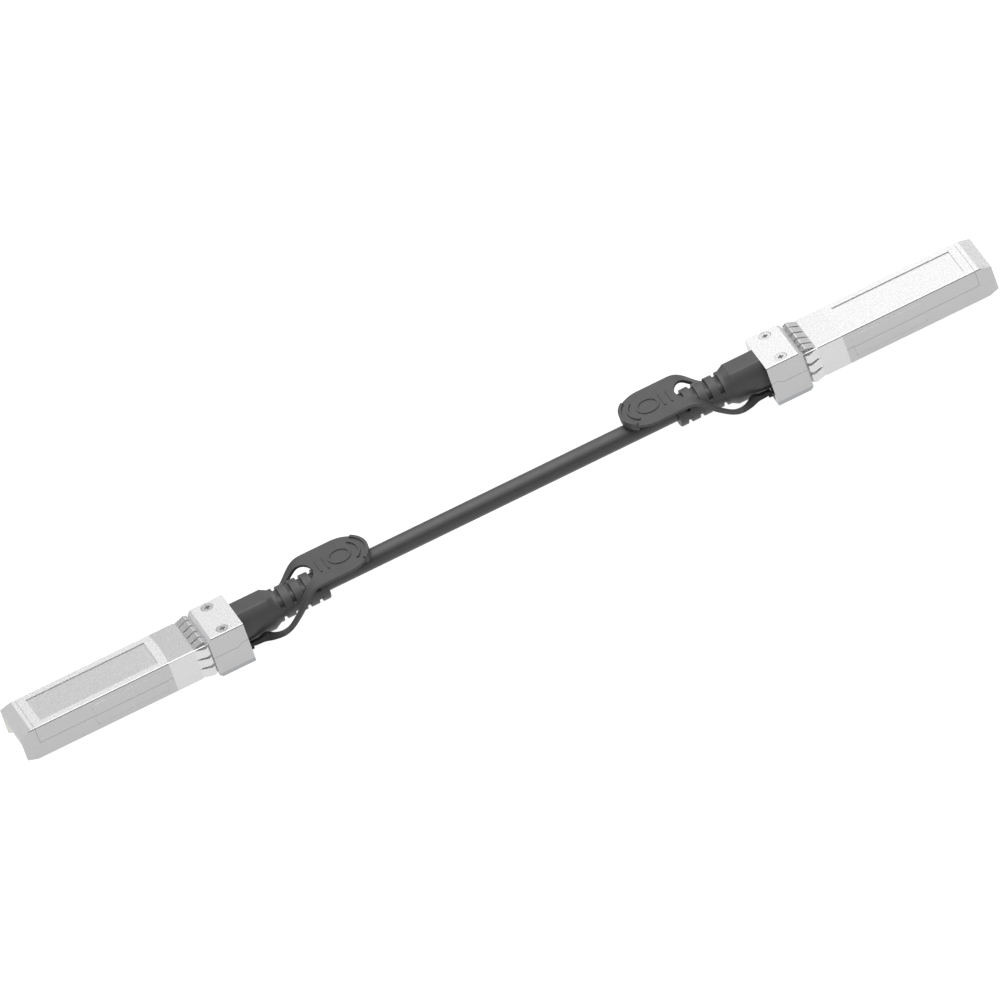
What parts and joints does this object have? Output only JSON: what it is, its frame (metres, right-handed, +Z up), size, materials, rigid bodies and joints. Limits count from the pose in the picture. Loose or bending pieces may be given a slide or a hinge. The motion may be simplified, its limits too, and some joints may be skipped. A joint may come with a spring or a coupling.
{
  "type": "direct attach copper cable",
  "caption": "Short straight twin-axial cable with a metal plug at each end, spring-finger bands, moulded boots and sliding pull tabs that release the latches.",
  "frame": {"origin": "centre of the bounding box at the underside of the bottom plates", "axes": "+X along the cable from the left plug to the right plug, +Z up, away from the bottom plates"},
  "size_m": [0.2538, 0.0154, 0.0119],
  "materials": {
    "cast_shell": "satin plated casting, fine grain on the upper faces",
    "spring_sheet": "smooth satin sheet",
    "screw_steel": "bright machined",
    "plate_steel": "cool grey satin sheet",
    "circuit_board": "solder mask over glass laminate",
    "gold_plating": "polished plating",
    "chip_moulding": "fine matt moulding",
    "ceramic": "matt ceramic with bright ends",
    "shield_foil": "wrapped foil",
    "tinned_wire": "tinned copper",
    "ferrule_metal": "crimped sleeve",
    "boot_moulding": "satin moulded elastomer",
    "tab_moulding": "satin moulded elastomer",
    "spring_wire": "drawn wire",
    "cable_jacket": "smooth extruded jacket"
  },
  "bodies": {
    "cable": {"cable_jacket": "cable_jacket", "left_base_shell": "cast_shell", "left_top_cover": "cast_shell", "left_emi_clip": "spring_sheet", "left_cover_screws": "screw_steel", "left_bottom_plate": "plate_steel", "left_paddle_card": "circuit_board", "left_contact_pads": "gold_plating", "left_eeprom_chip": "chip_moulding", "left_chip_capacitors": "ceramic", "left_twinax_pairs": "shield_foil", "left_wire_ends": "tinned_wire", "left_solder_pads": "gold_plating", "left_cable_braid": "tinned_wire", "left_crimp_ferrule": "ferrule_metal", "left_strain_boot": "boot_moulding", "left_return_springs": "spring_wire", "right_base_shell": "cast_shell", "right_top_cover": "cast_shell", "right_emi_clip": "spring_sheet", "right_cover_screws": "screw_steel", "right_bottom_plate": "plate_steel", "right_paddle_card": "circuit_board", "right_contact_pads": "gold_plating", "right_eeprom_chip": "chip_moulding", "right_chip_capacitors": "ceramic", "right_twinax_pairs": "shield_foil", "right_wire_ends": "tinned_wire", "right_solder_pads": "gold_plating", "right_cable_braid": "tinned_wire", "right_crimp_ferrule": "ferrule_metal", "right_strain_boot": "boot_moulding", "right_return_springs": "spring_wire"},
    "left_tab": {"left_pull_tab": "tab_moulding", "left_latch_slider": "spring_sheet"},
    "right_tab": {"right_pull_tab": "tab_moulding", "right_latch_slider": "spring_sheet"}
  },
  "joints": [
    {"name": "left_tab_pull", "type": "slide", "parent": "cable", "child": "left_tab", "axis": [1, 0, 0], "range_m": [0, 0.0025], "stiffness_N_per_m": 300, "springref_m": -0.001, "deforming": ["left_return_springs"]},
    {"name": "right_tab_pull", "type": "slide", "parent": "cable", "child": "right_tab", "axis": [-1, 0, 0], "range_m": [0, 0.0025], "stiffness_N_per_m": 300, "springref_m": -0.001, "deforming": ["right_return_springs"]}
  ]
}
